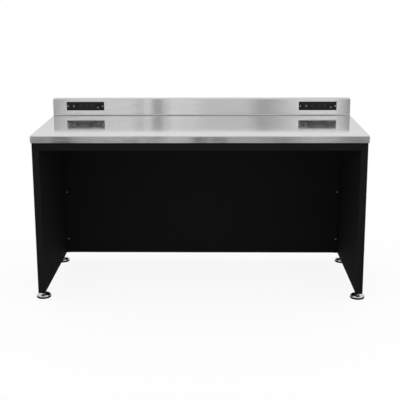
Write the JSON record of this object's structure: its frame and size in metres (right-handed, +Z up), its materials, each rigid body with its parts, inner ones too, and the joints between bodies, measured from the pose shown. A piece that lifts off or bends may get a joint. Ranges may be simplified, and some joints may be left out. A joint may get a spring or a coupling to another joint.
{
  "type": "work table",
  "caption": "Stainless steel work table with a boxed splash that holds power modules, on a black folded-steel base with a back panel and levelling feet.",
  "frame": {"origin": "on the floor, under the middle of the table", "axes": "+X along the table to the right, +Y from the front edge towards the splash, +Z up"},
  "size_m": [1.8588, 0.762, 1.0436],
  "materials": {
    "brushed_stainless": "brushed along the table's length, lightly polished",
    "stainless_cover": "mill finish sheet",
    "black_powder_coat": "semi-gloss black powder coat on folded sheet",
    "galvanised_steel": "galvanised sheet",
    "zinc_plated_steel": "bright zinc plate",
    "chromed_steel": "polished chrome plate",
    "black_rubber": "moulded rubber",
    "black_plastic": "finely grained moulding",
    "black_gloss_plastic": "smooth moulding",
    "grey_plastic": "smooth moulding",
    "contact_brass": "stamped strip"
  },
  "bodies": {
    "table": {"back_panel": "black_powder_coat", "cord_grommets": "black_rubber", "cross_channel_1": "galvanised_steel", "cross_channel_2": "galvanised_steel", "cross_channel_3": "galvanised_steel", "cross_channel_4": "galvanised_steel", "front_apron": "black_powder_coat", "jam_nut_front_left": "zinc_plated_steel", "jam_nut_front_right": "zinc_plated_steel", "jam_nut_rear_left": "zinc_plated_steel", "jam_nut_rear_right": "zinc_plated_steel", "left_breaker": "black_plastic", "left_foot_channel": "black_powder_coat", "left_leg_inner_skin": "black_powder_coat", "left_leg_skin": "black_powder_coat", "left_outlet_contacts": "contact_brass", "left_outlets": "black_plastic", "left_panel_angle": "black_powder_coat", "left_power_back_box": "galvanised_steel", "left_power_bezel": "black_plastic", "left_switch_frame": "black_plastic", "left_top_channel": "black_powder_coat", "rail_cleat_front_left": "black_powder_coat", "rail_cleat_front_right": "black_powder_coat", "rail_cleat_rear_left": "black_powder_coat", "rail_cleat_rear_right": "black_powder_coat", "rear_rail": "black_powder_coat", "right_breaker": "black_plastic", "right_foot_channel": "black_powder_coat", "right_leg_inner_skin": "black_powder_coat", "right_leg_skin": "black_powder_coat", "right_outlet_contacts": "contact_brass", "right_outlets": "black_plastic", "right_panel_angle": "black_powder_coat", "right_power_back_box": "galvanised_steel", "right_power_bezel": "black_plastic", "right_switch_frame": "black_plastic", "right_top_channel": "black_powder_coat", "splash_cove": "brushed_stainless", "splash_hood": "brushed_stainless", "splash_rear_cover": "stainless_cover", "worktop_pan": "brushed_stainless"},
    "foot_front_left": {"foot_pad_front_left": "black_rubber", "foot_base_front_left": "chromed_steel"},
    "stud_front_left": {"foot_stud_front_left": "zinc_plated_steel"},
    "foot_front_right": {"foot_pad_front_right": "black_rubber", "foot_base_front_right": "chromed_steel"},
    "stud_front_right": {"foot_stud_front_right": "zinc_plated_steel"},
    "foot_rear_left": {"foot_pad_rear_left": "black_rubber", "foot_base_rear_left": "chromed_steel"},
    "stud_rear_left": {"foot_stud_rear_left": "zinc_plated_steel"},
    "foot_rear_right": {"foot_pad_rear_right": "black_rubber", "foot_base_rear_right": "chromed_steel"},
    "stud_rear_right": {"foot_stud_rear_right": "zinc_plated_steel"},
    "left_rocker": {"left_switch_rocker": "black_gloss_plastic"},
    "left_button": {"left_reset_button": "grey_plastic"},
    "right_rocker": {"right_switch_rocker": "black_gloss_plastic"},
    "right_button": {"right_reset_button": "grey_plastic"}
  },
  "joints": [
    {"name": "foot_front_left_level", "type": "slide", "parent": "table", "child": "foot_front_left", "axis": [0, 0, -1], "range_m": [-0.005, 0.025]},
    {"name": "stud_front_left_turn", "type": "hinge", "parent": "foot_front_left", "child": "stud_front_left", "pos_m": [-0.88935, -0.313, 0.03], "axis": [0, 0, -1], "range_deg": [-930, 4610]},
    {"name": "foot_front_right_level", "type": "slide", "parent": "table", "child": "foot_front_right", "axis": [0, 0, -1], "range_m": [-0.005, 0.025]},
    {"name": "stud_front_right_turn", "type": "hinge", "parent": "foot_front_right", "child": "stud_front_right", "pos_m": [0.88935, -0.313, 0.03], "axis": [0, 0, -1], "range_deg": [-930, 4610]},
    {"name": "foot_rear_left_level", "type": "slide", "parent": "table", "child": "foot_rear_left", "axis": [0, 0, -1], "range_m": [-0.005, 0.025]},
    {"name": "stud_rear_left_turn", "type": "hinge", "parent": "foot_rear_left", "child": "stud_rear_left", "pos_m": [-0.88935, 0.313, 0.03], "axis": [0, 0, -1], "range_deg": [-930, 4610]},
    {"name": "foot_rear_right_level", "type": "slide", "parent": "table", "child": "foot_rear_right", "axis": [0, 0, -1], "range_m": [-0.005, 0.025]},
    {"name": "stud_rear_right_turn", "type": "hinge", "parent": "foot_rear_right", "child": "stud_rear_right", "pos_m": [0.88935, 0.313, 0.03], "axis": [0, 0, -1], "range_deg": [-930, 4610]},
    {"name": "left_rocker_tilt", "type": "hinge", "parent": "table", "child": "left_rocker", "pos_m": [-0.7845, 0.3134, 0.99985], "axis": [1, 0, 0], "range_deg": [0, 14]},
    {"name": "left_reset_press", "type": "slide", "parent": "table", "child": "left_button", "axis": [0, 1, 0], "range_m": [0, 0.003], "stiffness_N_per_m": 300, "springref_m": -0.003},
    {"name": "right_rocker_tilt", "type": "hinge", "parent": "table", "child": "right_rocker", "pos_m": [0.6435, 0.3134, 0.99985], "axis": [1, 0, 0], "range_deg": [0, 14]},
    {"name": "right_reset_press", "type": "slide", "parent": "table", "child": "right_button", "axis": [0, 1, 0], "range_m": [0, 0.003], "stiffness_N_per_m": 300, "springref_m": -0.003}
  ],
  "couplings": [
    {"joint": "stud_front_left_turn", "follows": "foot_front_left_level", "rad_per_m": 3215.8},
    {"joint": "stud_front_right_turn", "follows": "foot_front_right_level", "rad_per_m": 3215.8},
    {"joint": "stud_rear_left_turn", "follows": "foot_rear_left_level", "rad_per_m": 3215.8},
    {"joint": "stud_rear_right_turn", "follows": "foot_rear_right_level", "rad_per_m": 3215.8}
  ]
}
